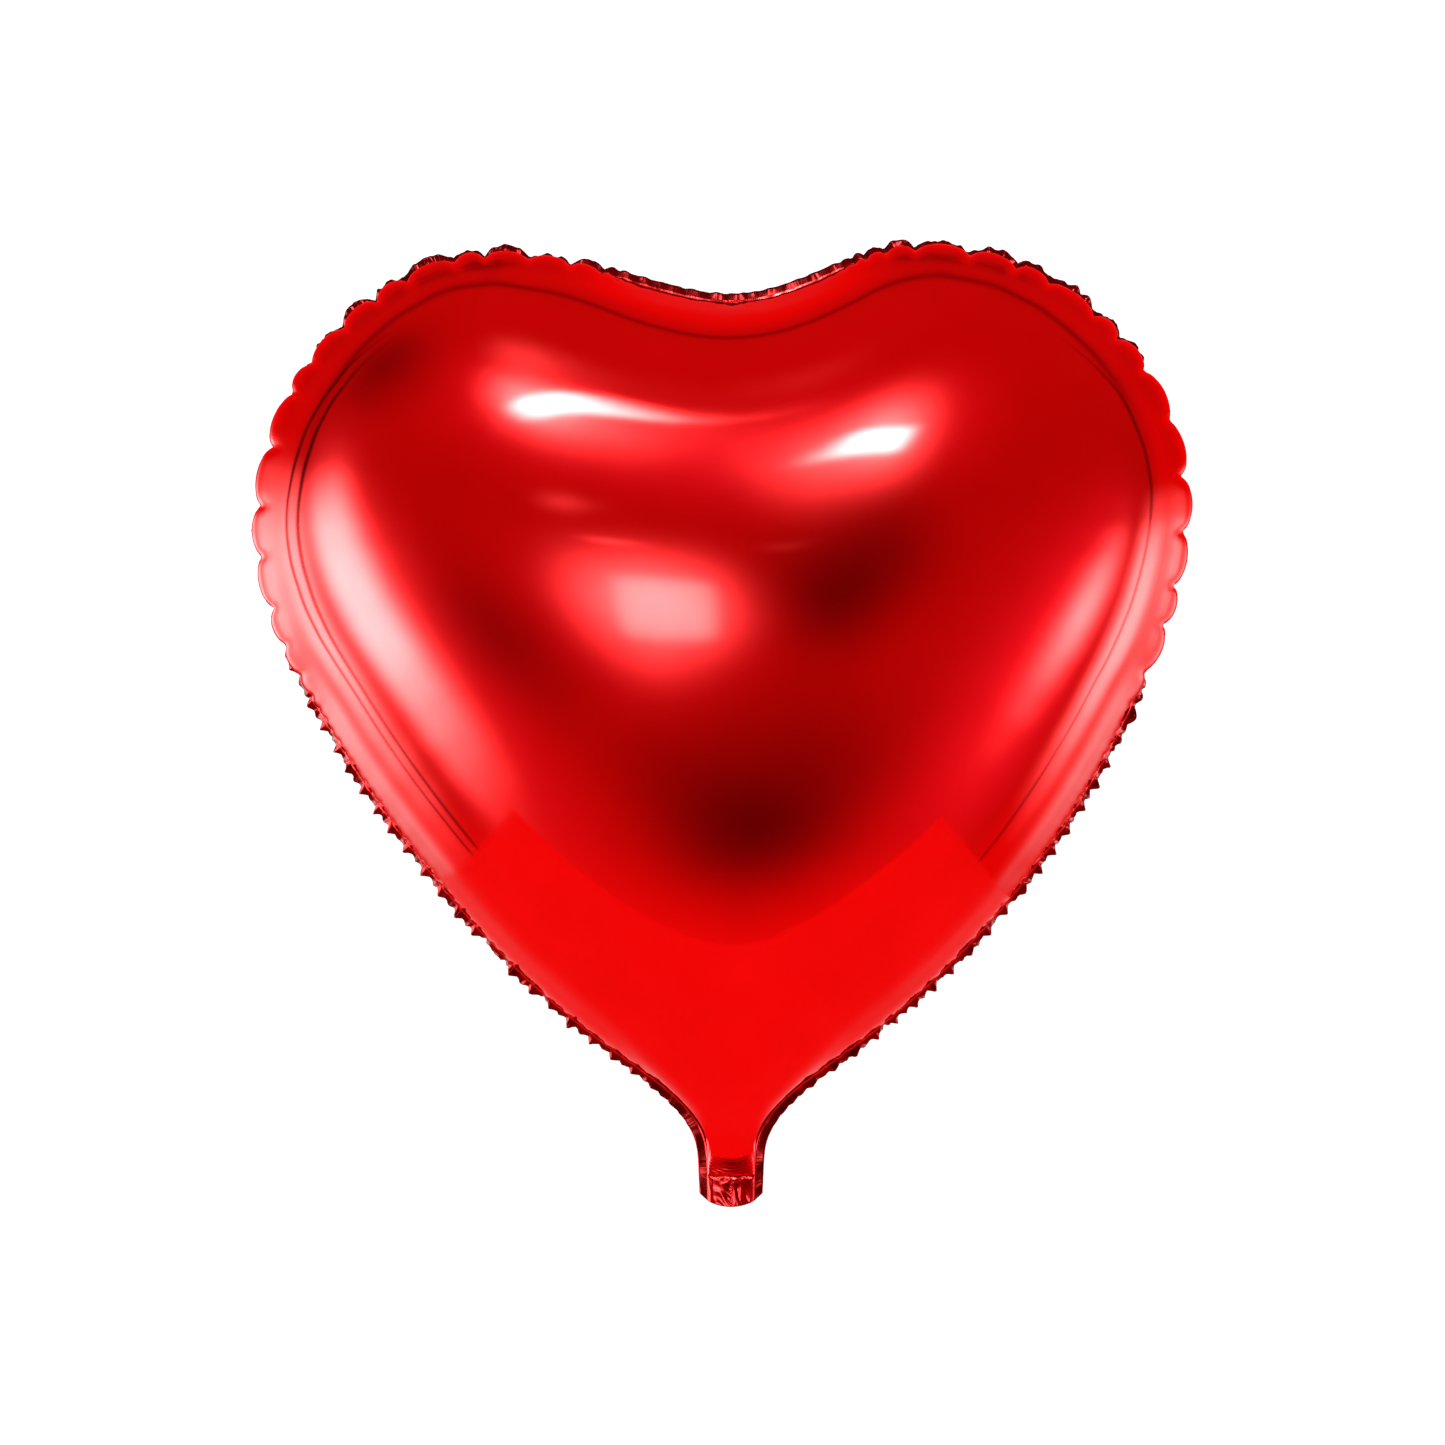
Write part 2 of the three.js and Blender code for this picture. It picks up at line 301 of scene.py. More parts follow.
GLOWS = (
    (-21, 47, 16.0, 14.0, 0, 1, 0.45),
    (16, 42, 15.0, 14.0, 0, 1, 0.42),
    (-12, 3, 14.0, 12.0, 0, 1, 0.42),
    (-74, -5, 19.0, 27.0, 26, 1, 0.5),
    (72, -12, 16.0, 20.0, -48, 1, 0.5),
    (62, -15, 22.0, 25.0, 0, 1, 0.2),
    (-60, -22, 20.0, 22.0, 0, 1, 0.15),
)
LAMP_COLOUR = (0.03, 1.0, 1.0)
GLOW_COLOUR = (1.0, 6.0, 14.0)
# Dark things in the room, in the same terms, with the share of the light that they hide: soft
# shapes in the room's own light, then poles in front of the side lights.
SHADES = (
    (16.5, 9, 11.5, 13.5, 0, 1, 0.68),
    (6, -30, 25.0, 15.0, 0, 1, 0.76),
    (-38, -8, 11.0, 12.0, 0, 1, 0.42),
    (-85, 46, 17.0, 12.0, 0, 1, 0.52),
    (-3, 45, 7.0, 20.0, 0, 1, 0.12),
)
POLES = (
    (-100, 0, 1.5, 45.0, 0, 2, 0.9),
    (-108.5, 0, 1.3, 45.0, 0, 2, 0.9),
    (104, 0, 1.2, 45.0, 0, 2, 0.7),
)
# Brightness of the room by height above the horizon, in degrees.
ROOM_LEVELS = (
    (-90, 1.05), (-58, 1.0), (-46, 0.85), (-36, 0.66), (-10, 0.53), (20, 0.52), (60, 0.6), (90, 0.64),
)
PLAIN_LEVEL = 1.25  # of the even light that falls on anything but the foil
WHITE = (1.0, 1.0, 1.0, 1.0)
BACKDROP_WAY = (0.0, 1.0, -0.28)  # into the backdrop
BACKDROP = (0.15, 0.45)  # where it starts and is full, along that way
BACKDROP_COLOUR = (0.9, 0.1, 0.1)  # reddish, so that the foil stays red at grazing angles
BACKDROP_LINE = (0.1, 0.04, 0.45)  # the dark line overhead beside it: place, half width, strength
OVERHEAD = (20, 40)  # height above the horizon, in degrees, where that line starts and is full
LEAST_AHEAD = 0.02  # a patch of light or shade shows only on its own side of the room
MOST_OFF = 30.0  # keeps powers within bounds far from a patch


def smooth(value, low, high):
    """0 below low, 1 above high, and a smooth step between."""
    t = np.clip((np.asarray(value, float) - low) / (high - low), 0.0, 1.0)
    return t * t * (3.0 - 2.0 * t)


def mix(low, high, share):
    """low where the share is 0, high where it is 1."""
    return low + (high - low) * share


def natural_spline(knots, values, queries):
    """Natural cubic spline along the first axis of the values at the knots, at the queries."""
    knots = np.asarray(knots, float)
    values = np.asarray(values, float)
    queries = np.asarray(queries, float)
    gaps = np.diff(knots)
    count = len(knots)
    column = (-1,) + (1,) * (values.ndim - 1)
    inner = np.arange(1, count - 1)
    system = np.eye(count)
    system[inner, inner - 1] = gaps[:-1]
    system[inner, inner] = 2.0 * (gaps[:-1] + gaps[1:])
    system[inner, inner + 1] = gaps[1:]
    right = np.zeros_like(values)
    right[1:-1] = 6.0 * np.diff(np.diff(values, axis=0) / gaps.reshape(column), axis=0)
    bend = np.linalg.solve(system, right.reshape(count, -1)).reshape(values.shape)
    cell = np.clip(np.searchsorted(knots, queries, side="right") - 1, 0, count - 2)
    gap = gaps[cell].reshape(column)
    after = (queries - knots[cell]).reshape(column)
    before = gap - after
    curved = (bend[cell] * before**3 + bend[cell + 1] * after**3) / (6.0 * gap)
    low = (values[cell] / gap - bend[cell] * gap / 6.0) * before
    high = (values[cell + 1] / gap - bend[cell + 1] * gap / 6.0) * after
    return curved + low + high


def ripples(points, wavelength, seed, waves=9):
    """Smooth random ripples, about -1 to 1, of roughly that wavelength, at points with any axes."""
    rng = np.random.default_rng(seed)
    total = np.zeros(points.shape[:-1])
    for _ in range(waves):
        way = rng.normal(size=points.shape[-1])
        way *= 2.0 * math.pi * rng.uniform(0.6, 1.5) / (wavelength * np.linalg.norm(way))
        total += np.sin(points @ way + rng.uniform(0.0, 2.0 * math.pi))
    return total / math.sqrt(waves)


# ---- The outline and the seam -------------------------------------------------------------


def border_edge(node):
    """Outer edge of a panel's flat border, from the mouth's left corner over the top to its right
    one: the corners that lie one above the other on both faces of the border."""
    points = np.array([corner.co for corner in frame["nodes"][node].data.vertices])
    depth = np.round(np.abs(points[:, 1]), 5)
    levels = np.unique(depth)
    flat = np.round(points[:, [0, 2]], 5)
    on_seam = {tuple(p) for p in flat[depth == levels[0]]}
    on_outside = {tuple(p) for p in flat[depth == levels[1]]}
    middle = 0.5 * (cad_box[0][2] + cad_box[1][2])

    def turn(point):
        return math.atan2(-point[0], middle - point[1]) % (2.0 * math.pi)

    return np.array(sorted(on_seam & on_outside, key=turn))


EDGE = border_edge("front_panel")
EDGE_AT = np.concatenate([[0.0], np.cumsum(np.linalg.norm(np.diff(EDGE, axis=0), axis=1))])
EDGE_LENGTH = EDGE_AT[-1]
NOTCH = int(np.argmin(np.abs(EDGE[:, 0]) + (EDGE[:, 1] < HEART_START)))
NOTCH_AT = EDGE_AT[NOTCH]
MOUTH_Z = cad_box[0][2]
NOTCH_SEAM_Z = EDGE[NOTCH, 1] - SHOWN_NOTCH
DEPTH = cad_box[1][1] - DEPTH_SPARE


def edge_frame(at):
    """The outer edge, its direction and its outward direction, at lengths along it."""
    here = natural_spline(EDGE_AT, EDGE, at)
    ahead = natural_spline(EDGE_AT, EDGE, at + EDGE_STEP)
    along = ahead - natural_spline(EDGE_AT, EDGE, at - EDGE_STEP)
    along /= np.linalg.norm(along, axis=1)[:, None]
    return here, along, np.stack([-along[:, 1], along[:, 0]], axis=1)


def regions(edge):
    """How much each point of the edge belongs to the tail, the lobes' pillows, the lobes' tops
    and the notch."""
    x, z = np.abs(edge[:, 0]), edge[:, 1]
    tail = 1.0 - smooth(z, TAIL_TOP, HEART_START)
    off_notch = np.maximum(smooth(x, *NOTCH_HALF), 1.0 - smooth(z, *NOTCH_START))
    pillows = smooth(z, *PILLOWS_START) * off_notch
    top = smooth(z, *LOBE_TOP) * off_notch
    return tail, pillows, top, 1.0 - off_notch


def side_at(side, share):
    """Lengths along the edge at shares of the way up one side, -1 left and 1 right."""
    share = np.asarray(share, float)
    return share * NOTCH_AT if side < 0 else EDGE_LENGTH - share * (EDGE_LENGTH - NOTCH_AT)


def seam_line(side, share):
    """The flat seam, and everything known about it, at shares of the way up one side."""
    at = side_at(side, share)
    edge, along, outward = edge_frame(at)
    tail, pillows, top, notch = regions(edge)
    shown = mix(mix(SHOWN_FLANK, SHOWN_NOTCH, notch), mix(SHOWN_LOBE, SHOWN_TOP, top), pillows)
    shown = mix(shown, BORDER_TAIL, tail)
    cell, through = pinches(at)
    drawn = SCALLOP * between(PINCH_STRENGTH, cell, through) * pillows
    seam = edge - outward * shown[:, None]
    seam[:, 1] -= SEAM_DROP * (1.0 - smooth(share, 0.0, SEAM_DROP_SHARE))
    return {
        "at": at, "edge": edge, "along": along, "outward": outward, "seam": seam, "tail": tail,
        "pillows": pillows, "top": top, "notch": notch, "drawn": drawn,
    }


def rib_points(line, share, turn):
    """Flat positions on the ribs to a seam line: rows by share, columns by turn from the seam."""
    start = natural_spline(SPINE_ENDS, SPINE_STARTS, share)
    spine = mix(MOUTH_Z, NOTCH_SEAM_Z, start)[:, None]
    out = np.cos(turn)[None, :]
    x = line["seam"][:, :1] * out
    z = spine + (line["seam"][:, 1:] - spine) * out**2
    return np.stack([x, z], axis=-1)


# ---- The inflated height ------------------------------------------------------------------


def grid_triangles(rows, columns):
    """Triangles over a grid of points that are numbered row by row."""
    corner = (np.arange(rows - 1)[:, None] * columns + np.arange(columns - 1)[None, :]).ravel()
    first = np.stack([corner, corner + 1, corner + columns + 1], axis=1)
    second = np.stack([corner, corner + columns + 1, corner + columns], axis=1)
    return np.concatenate([first, second])


def relax_membrane(points, triangles, free):
    """Sag of an even-loaded membrane, held where free is 0, by preconditioned conjugate gradients."""
    corners = points[triangles]
    sides = np.roll(corners, -1, axis=1) - corners
    double = np.abs(sides[:, 0, 0] * sides[:, 1, 1] - sides[:, 0, 1] * sides[:, 1, 0])
    double = np.maximum(double, LEAST_AREA)
    first, second, weight = [], [], []
    for n in range(3):
        apex = corners[:, (n + 2) % 3]
        lean = np.sum((corners[:, n] - apex) * (corners[:, (n + 1) % 3] - apex), axis=1)
        first.append(triangles[:, n])
        second.append(triangles[:, (n + 1) % 3])
        weight.append(lean / (2.0 * double))
    first, second, weight = (np.concatenate(part) for part in (first, second, weight))
    count = len(points)
    spread = np.repeat(double / 6.0, 3)
    load = np.bincount(triangles.ravel(), weights=spread, minlength=count) * free
    stiff = np.bincount(first, weight, count) + np.bincount(second, weight, count)
    stiff = np.where(np.abs(stiff) > LEAST_STIFFNESS, stiff, 1.0)

    def pull(sag):
        force = weight * (sag[first] - sag[second])
        return (np.bincount(first, force, count) - np.bincount(second, force, count)) * free

    sag = np.zeros(count)
    rest = load.copy()
    eased = rest / stiff
    step = eased.copy()
    size = rest @ eased
    goal = size * SOLVE_GOAL
    for _ in range(SOLVE_STEPS):
        pulled = pull(step)
        length = size / (step @ pulled)
        sag += length * step
        rest -= length * pulled
        eased = rest / stiff
        size, last = rest @ eased, size
        if size < goal:
            break
        step = eased + (size / last) * step
    return sag


def solve_heights():
    """Height of the inflated film at coarse shares and turns, for each side. The square root of a
    membrane's sag has the shape of inflated film: upright at the seam, rounder where narrow."""
    share = np.linspace(0.0, 1.0, SOLVE_RIBS + 1)
    turn = np.linspace(0.0, math.pi / 2, SOLVE_COLUMNS + 1)
    left = rib_points(seam_line(-1, share), share, turn)
    right = rib_points(seam_line(1, share), share, turn)
    grid = np.concatenate([left, right[:, -2::-1]], axis=1)
    rows, columns = grid.shape[:2]
    held = np.zeros((rows, columns), bool)
    held[:, 0] = held[:, -1] = held[-1, :] = True
    free = (~held).ravel().astype(float)
    sag = relax_membrane(grid.reshape(-1, 2), grid_triangles(rows, columns), free)
    rise = np.sqrt(np.maximum(sag, 0.0)).reshape(rows, columns)
    rise *= DEPTH / rise.max()
    mouth = MOUTH_DEPTH / rise[0, SOLVE_COLUMNS]
    fullness = mouth * mix(1.0, CREASE_FULLNESS, smooth(grid[..., 1], MOUTH_Z, CREASE_Z))
    rise *= mix(fullness, 1.0, smooth(grid[..., 1], *SWELLING))
    return share, turn, {-1: rise[:, : SOLVE_COLUMNS + 1], 1: rise[:, : SOLVE_COLUMNS - 1 : -1]}


def heights(side, line, share, turn):
    """The film's height on the ribs. Its stiff, puckered rim doesn't stand upright as a membrane's
    does: it rises at an even slope, which the rest of the film runs smoothly out of."""
    rows = natural_spline(SOLVED_SHARE, SOLVED_RISE[side], share)
    rise = natural_spline(SOLVED_TURN, rows.T, turn).T
    lost = RIM_LOSS * (1.0 - line["tail"][:, None])
    lowered = np.where(
        rise < lost * math.sqrt(2.0),
        rise**2 / (2.0 * np.maximum(lost, LEAST_LOSS)),
        np.sqrt(np.maximum(rise**2 - lost**2, 0.0)),
    )
    regained = DEPTH / math.sqrt(DEPTH**2 - RIM_LOSS**2)
    return lowered * mix(regained, 1.0, line["tail"][:, None])


# ---- Puckers ------------------------------------------------------------------------------


def pucker_places():
    """Where the seam is pinched, along the outer edge, with each pinch's strength, how far it
    reaches and which way it leans."""
    rng = np.random.default_rng(SEED)
    places = [0.0]
    while places[-1] < EDGE_LENGTH:
        edge = edge_frame(np.array([places[-1]]))[0]
        tail, pillows, _, notch = (part[0] for part in regions(edge))
        pitch = mix(mix(PITCH_FLANK, PITCH_LOBE, pillows), PITCH_FINE, max(tail, notch))
        uneven = mix(UNEVEN_FLANK, UNEVEN_LOBE, pillows)
        places.append(places[-1] + pitch * (1.0 + rng.uniform(-uneven, uneven)))
    places = np.array(places)
    strength = rng.uniform(*STRENGTHS, len(places))
    reach = rng.uniform(*REACHES, len(places))
    lean = rng.uniform(-1.0, 1.0, len(places))
    return places, strength, reach, lean


PINCH_AT, PINCH_STRENGTH, PINCH_REACH, PINCH_LEAN = pucker_places()


def pinches(at):
    """The cell between two pinches that each length falls in, and the share of the way through."""
    cell = np.clip(np.searchsorted(PINCH_AT, at, side="right") - 1, 0, len(PINCH_AT) - 2)
    through = (at - PINCH_AT[cell]) / (PINCH_AT[cell + 1] - PINCH_AT[cell])
    return cell, np.clip(through, 0.0, 1.0)


def between(values, cell, through):
    """A value that the pinches have, carried smoothly from one to the next."""
    return mix(values[cell], values[cell + 1], smooth(through, 0.0, 1.0))


SOLVED_SHARE, SOLVED_TURN, SOLVED_RISE = solve_heights()


def seam_shift(line):
    """How far the seam is pushed forwards or back by its puckers, and the tilt of the border out
    of the balloon's plane."""
    cell, through = pinches(line["at"])
    sway = between(PINCH_LEAN, cell, through)
    way = np.where(cell % 2 == 0, 1.0, -1.0)
    wander = ripples(line["at"][:, None], WANDER_WAVE, SEED + 1)
    forwards = sway * mix(SWAY_FLANK, SWAY_LOBE, line["pillows"]) * (1.0 - line["tail"])
    teeth = way * tooth(through)

    def tilt_of(mean, by_lean, by_teeth, by_wander):
        return mean + by_lean * sway + by_teeth * teeth + by_wander * wander

    lobes = mix(tilt_of(*TILT_LOBE), tilt_of(*TILT_TOP), line["top"])
    tilt = mix(tilt_of(*TILT_FLANK), lobes, line["pillows"])
    tilt = mix(tilt, tilt_of(*TILT_NOTCH), line["notch"])
    tilt = mix(tilt, tilt_of(*TILT_TAIL), line["tail"])
    return forwards, tilt


def scallop(through, sharp):
    """1 at a pinch and 0 between two, the more closely round the pinch the sharper."""
    return np.abs(2.0 * through - 1.0) ** sharp


def tooth(through):
    """A lopsided, round-topped tooth between two pinches: up to 1 and back to 0."""
    rising = through / TOOTH_PEAK
    falling = (1.0 - through) / (1.0 - TOOTH_PEAK)
    return np.sin(0.5 * math.pi * np.minimum(rising, falling))


def border_points(line, across):
    """Middle of the fused border and its facing direction: rows along it, columns across it from
    the seam at 0 to the outer edge at 1."""
    forwards, tilt = seam_shift(line)
    cell, through = pinches(line["at"])
    calm = 1.0 - line["tail"]
    flank = calm * (1.0 - line["pillows"]) * (1.0 - line["notch"])
    tucked = line["pillows"] * (1.0 - line["top"])
    tail_width = np.linalg.norm(line["edge"] - line["seam"], axis=1)
    width = mix(mix(BORDER_WIDTH, BORDER_TUCKED, tucked), tail_width, line["tail"])
    wobble = calm * ripples(line["at"][:, None], WIDTH_WAVE, SEED + 2)
    width = width * (1.0 + WIDTH_WOBBLE * wobble)
    width = width * mix(1.0, TOOTH_FOOT + TOOTH_RISE * tooth(through), flank)
    outward = np.insert((line["edge"] - line["seam"]) / tail_width[:, None], 1, 0.0, axis=1)
    along = np.insert(line["along"], 1, 0.0, axis=1)
    root = np.insert(line["seam"], 1, forwards, axis=1)
    drawn = line["drawn"] * scallop(through, SCALLOP_SHARPNESS)
    root -= np.insert(line["outward"], 1, 0.0, axis=1) * drawn[:, None]
    loose = calm * (1.0 - NOTCH_CALM * line["notch"])
    curl = CURL * loose * ripples(line["at"][:, None], CURL_WAVE, SEED + 3)
    drag = TOOTH_DRAG * np.sin(2.0 * math.pi * through) * flank
    pleats = loose * ripples(line["at"][:, None], PLEAT_WAVE, SEED + 4)
    pleats = mix(PLEAT_LOBE, PLEAT_FLANK, flank) * pleats
    back = np.array([0.0, 1.0, 0.0])
    points, facing = [], []
    for t in across:
        angle = (tilt + curl * t)[:, None]
        way = outward * np.cos(angle) + back * np.sin(angle)
        side_on = back * np.cos(angle) - outward * np.sin(angle)
        bent = along * (drag * t * t)[:, None] + side_on * (pleats * min(1.0, 2.0 * t))[:, None]
        points.append(root + way * (width * t)[:, None] + bent)
        facing.append(side_on)
    return np.stack(points, axis=1), np.stack(facing, axis=1)


def dome_points(line, share, turn, side, face):
    """The inflated film of one panel, with its puckers: rows by share, columns by turn. side is
    -1 left and 1 right, face is -1 in front and 1 behind."""
    flat = rib_points(line, share, turn)
    rise = heights(side, line, share, turn)
    from_seam = flat - line["seam"][:, None]
    inside = -np.sum(from_seam * line["outward"][:, None], axis=-1)
    reach = np.sqrt(rise**2 + np.maximum(inside, 0.0) ** 2)
    at = line["at"][:, None] + np.sum(from_seam * line["along"][:, None], axis=-1)
    cell, through = pinches(at)
    calm = 1.0 - line["tail"][:, None]
    pillows = line["pillows"][:, None]
    size = mix(*PILLOW_SIZES, between(PINCH_STRENGTH, cell, through))

    # Pillows along the lobes, fattest just inside the seam, with creases between them that get
    # sharper and fade as they run in. The flanks only swell a little.
    longer = between(PINCH_REACH, cell, through)
    bulge = (reach / PILLOW_PEAK) * np.exp(1.0 - reach / PILLOW_PEAK)
    crease = scallop(through, mix(*CREASE_SHARPNESS, smooth(reach, *CREASE_SHARPENS)))
    fades, faded = CREASE_FADES
    fading = 1.0 - smooth(reach, fades, faded + CREASE_LONGER * longer)
    creased = 1.0 - CREASE_DEPTH * crease * fading
    swell = mix(FLANK_SWELL, PILLOW_SWELL * size * creased, pillows) * bulge * calm
    drawn = -(line["drawn"][:, None] * crease * fading * np.exp(-reach / SCALLOP_FADE))

    # Fine gathers along the flanks and at the notch.
    gather = GATHER * between(PINCH_STRENGTH, cell, through) * (1.0 - pillows) * calm
    gather *= 1.0 - GATHER_NOTCH * line["notch"][:, None]
    gather *= (reach / GATHER_PEAK) * np.exp(1.0 - reach / GATHER_PEAK)
    gather *= -scallop(through, GATHER_SHARPNESS)

    # The slow unevenness of film that isn't quite tight.
    spread = ripples(np.stack([at, reach * NEAR_STRETCH], axis=-1), NEAR_WAVE, SEED + 7 + face)
    spread *= NEAR * np.exp(-reach / NEAR_FADE) * smooth(reach, *NEAR_START) * calm
    slow = BROAD * ripples(flat, BROAD_WAVE, SEED + 11 + face) * smooth(reach, *BROAD_START) * calm

    forwards, _ = seam_shift(line)
    outward = np.insert(line["outward"], 1, 0.0, axis=1)[:, None]
    front = np.array([0.0, float(face), 0.0])
    tip = smooth(reach, 0.0, OUTWARDS_REACH)[..., None]
    lean = outward * (1.0 - tip) + front * (LEAST_FORWARDS + tip)
    lean /= np.linalg.norm(lean, axis=-1)[..., None]
    points = np.stack([flat[..., 0], face * rise, flat[..., 1]], axis=-1)
    points[..., 1] += forwards[:, None] * np.exp(-reach / SWAY_FADE)
    points = points + lean * (swell + gather + spread + slow)[..., None] + outward * drawn[..., None]
    return points + tail_folds(points, line, face)


def crease_height(points):
    """Where the crease across the tail runs."""
    return CREASE_Z + CREASE_WANDER * ripples(points[..., :1], CREASE_WAVE, SEED + 19)


def below_crease(points):
    """1 in the crumpled end below the crease, 0 above it."""
    starts, full = END_START
    crease_z = crease_height(points)
    return 1.0 - smooth(points[..., 2], crease_z - full, crease_z - starts)


def tail_folds(points, line, face):
    """The crease across the tail, the crumpled end below it and the fine ripples above it."""
    x, z = points[..., 0], points[..., 2]
    above_crease = z - crease_height(points)
    crease = -CREASE_DIP * np.exp(-((above_crease / CREASE_HALF) ** 2))
    folds = 1.0 - CRUMPLE_SHARPNESS * np.abs(ripples(points, CRUMPLE_WAVE, SEED + 20 + face))
    crumple = CRUMPLE * folds * below_crease(points)
    hatched = smooth(above_crease, 0.0, HATCH_START) * (1.0 - smooth(above_crease, *HATCH_FADES))
    hatch = HATCH * np.sin((z - x**2 / HATCH_BEND) * 2.0 * math.pi / HATCH_PITCH) * hatched
    slack = SLACK * ripples(points, SLACK_WAVE, SEED + 22 + face) * line["tail"][:, None]
    held = smooth(np.abs(points[..., 1]), 0.0, HELD)
    out = np.zeros_like(points)
    out[..., 1] = face * (crease + crumple + hatch + slack) * held
    return out


# ---- The panel mesh -----------------------------------------------------------------------


def zone_turns():
    """The turns of each zone's columns. Zones share the column between them."""
    starts = (0.0,) + ZONE_TURNS[:-1]
    return [np.linspace(a, b, n + 1) for a, b, n in zip(starts, ZONE_TURNS, ZONE_COLUMNS)]


class PanelMesh:
    """Collects the corners and faces of one film."""

    def __init__(self, face):
        self.face = face
        self.corners = []
        self.facts = []
        self.faces = []
        self.count = 0

    def add(self, points, facts=None):
        """Adds rows of points, with what is known about each, and returns their numbers."""
        numbers = self.count + np.arange(points.shape[0] * points.shape[1]).reshape(points.shape[:2])
        self.corners.append(points.reshape(-1, 3))
        if facts is not None:
            self.facts.append(facts.reshape(-1, facts.shape[-1]))
        self.count += numbers.size
        return numbers

    def join(self, numbers, side):
        """Quads over a grid of point numbers, facing out of the balloon."""
        low, high = numbers[:-1], numbers[1:]
        quads = np.stack([low[:, :-1], low[:, 1:], high[:, 1:], high[:, :-1]], axis=-1)
        self.keep(quads.reshape(-1, 4), side)

    def halve(self, fine, coarse, side):
        """Triangles between a column of points and the next one with half as many rows."""
        even, odd, last = fine[:-1:2], fine[1::2], fine[2::2]
        low, high = coarse[:-1], coarse[1:]
        for three in ((even, low, odd), (odd, low, high), (odd, high, last)):
            self.keep(np.stack(three, axis=-1), side)

    def keep(self, faces, side):
        """Keeps the faces, turned to face out of the balloon."""
        self.faces.extend((faces if side * self.face > 0 else faces[:, ::-1]).tolist())


def seam_facts(points, line, has_border):
    """For the material: how rough, crinkled and darkened by painted shade each point is, from 1 on the
    border to 0 on the dome, how far it is from the seam, and its place along it."""
    seam = np.insert(line["seam"], 1, 0.0, axis=1)[:, None]
    from_seam = np.linalg.norm(points - seam, axis=-1)
    crinkle_and_painted_shade = np.zeros(points.shape[:2])
    if has_border:
        crinkle_and_painted_shade[:, :BORDER_COLUMNS] = 1.0
        from_seam[:, :BORDER_COLUMNS] = 0.0
    # A line of painted shade along the tail's crease, and lighter painted shade over the crumpled end
    # below it.
    from_crease = (points[..., 2] - crease_height(points)) / CREASE_SHADE_AND_DULL_HALF
    crinkle_and_painted_shade = np.maximum(crinkle_and_painted_shade, END_CRUMPLED_AND_SHADED * below_crease(points))
    crinkle_and_painted_shade = np.maximum(crinkle_and_painted_shade, np.exp(-(from_crease**2)))
    along = np.repeat(line["at"][:, None], points.shape[1], axis=1)
    return np.stack([crinkle_and_painted_shade, from_seam, along], axis=-1)


def panel_rows(mesh, share, turn, side, face, has_border):
    """Adds one zone's points to the mesh, and returns their numbers."""
    line = seam_line(side, share)
    points = dome_points(line, share, turn, side, face)
    points[..., 1] += face * SEAM_OFFSET
    if has_border:
        border, facing = border_points(line, np.linspace(1.0, 0.0, BORDER_COLUMNS + 1))
        points = np.concatenate([border + facing * face * SEAM_OFFSET, points[:, 1:]], axis=1)
    else:
        points = points[:, 1:]
    numbers = mesh.add(points, seam_facts(points, line, has_border))
    mesh.join(numbers, side)
    return numbers


def build_panel(name, face):
    """One film panel: its half of the border, and its dome, in zones that get coarser inwards
    except in the tail."""
    mesh = PanelMesh(face)
    turns = zone_turns()
    tail_turns = np.unique(np.concatenate(turns))
    middle = {}
    for side in (-1, 1):
        share = np.linspace(0.0, TAIL_SHARE, TAIL_RIBS + 1)
        tail = panel_rows(mesh, share, tail_turns, side, face, True)
        previous = None
        for zone, turn in enumerate(turns):
            share = np.linspace(TAIL_SHARE, 1.0, (RIBS >> zone) + 1)
            numbers = panel_rows(mesh, share, turn, side, face, zone == 0)
            if previous is not None:
                mesh.halve(previous[:, -1], numbers[:, 0], side)
            previous = numbers
        middle[side] = np.concatenate([tail[:, -1], previous[:, -1]])
    corners = np.concatenate(mesh.corners)
    corners[middle[-1]] = 0.5 * (corners[middle[-1]] + corners[middle[1]])
    swap = np.arange(mesh.count)
    swap[middle[1]] = middle[-1]
    data = bpy.data.meshes.new(name)
    faces = [tuple(swap[list(f)]) for f in mesh.faces]
    data.from_pydata(corners.tolist(), [], faces)
    for n, fact in enumerate(("border", "from_seam", "along_seam")):
        values = np.ascontiguousarray(np.concatenate(mesh.facts)[:, n], dtype=np.float32)
        data.attributes.new(fact, "FLOAT", "POINT").data.foreach_set("value", values)
    weld(data)
    piece = show(name, data)
    thicken(piece, FILM)
    return piece


def show(name, data):
    """Puts the data into the scene as an object of that name."""
    made = bpy.data.objects.new(name, data)
    bpy.context.scene.collection.objects.link(made)
    return made


def weld(data):
    """Joins the corners that the two sides share at the notch, and drops the faces lost there."""
    work = bmesh.new()
    work.from_mesh(data)
    bmesh.ops.remove_doubles(work, verts=work.verts, dist=WELD)
    loose = [corner for corner in work.verts if not corner.link_faces]
    bmesh.ops.delete(work, geom=loose, context="VERTS")
    for one in work.faces:
        one.smooth = True
    work.to_mesh(data)
    work.free()


def thicken(piece, thickness):
    """Gives a film its thickness, behind its faces."""
    solid = piece.modifiers.new("film", "SOLIDIFY")
    solid.thickness = thickness
    solid.offset = -1.0


# ---- The valve ----------------------------------------------------------------------------


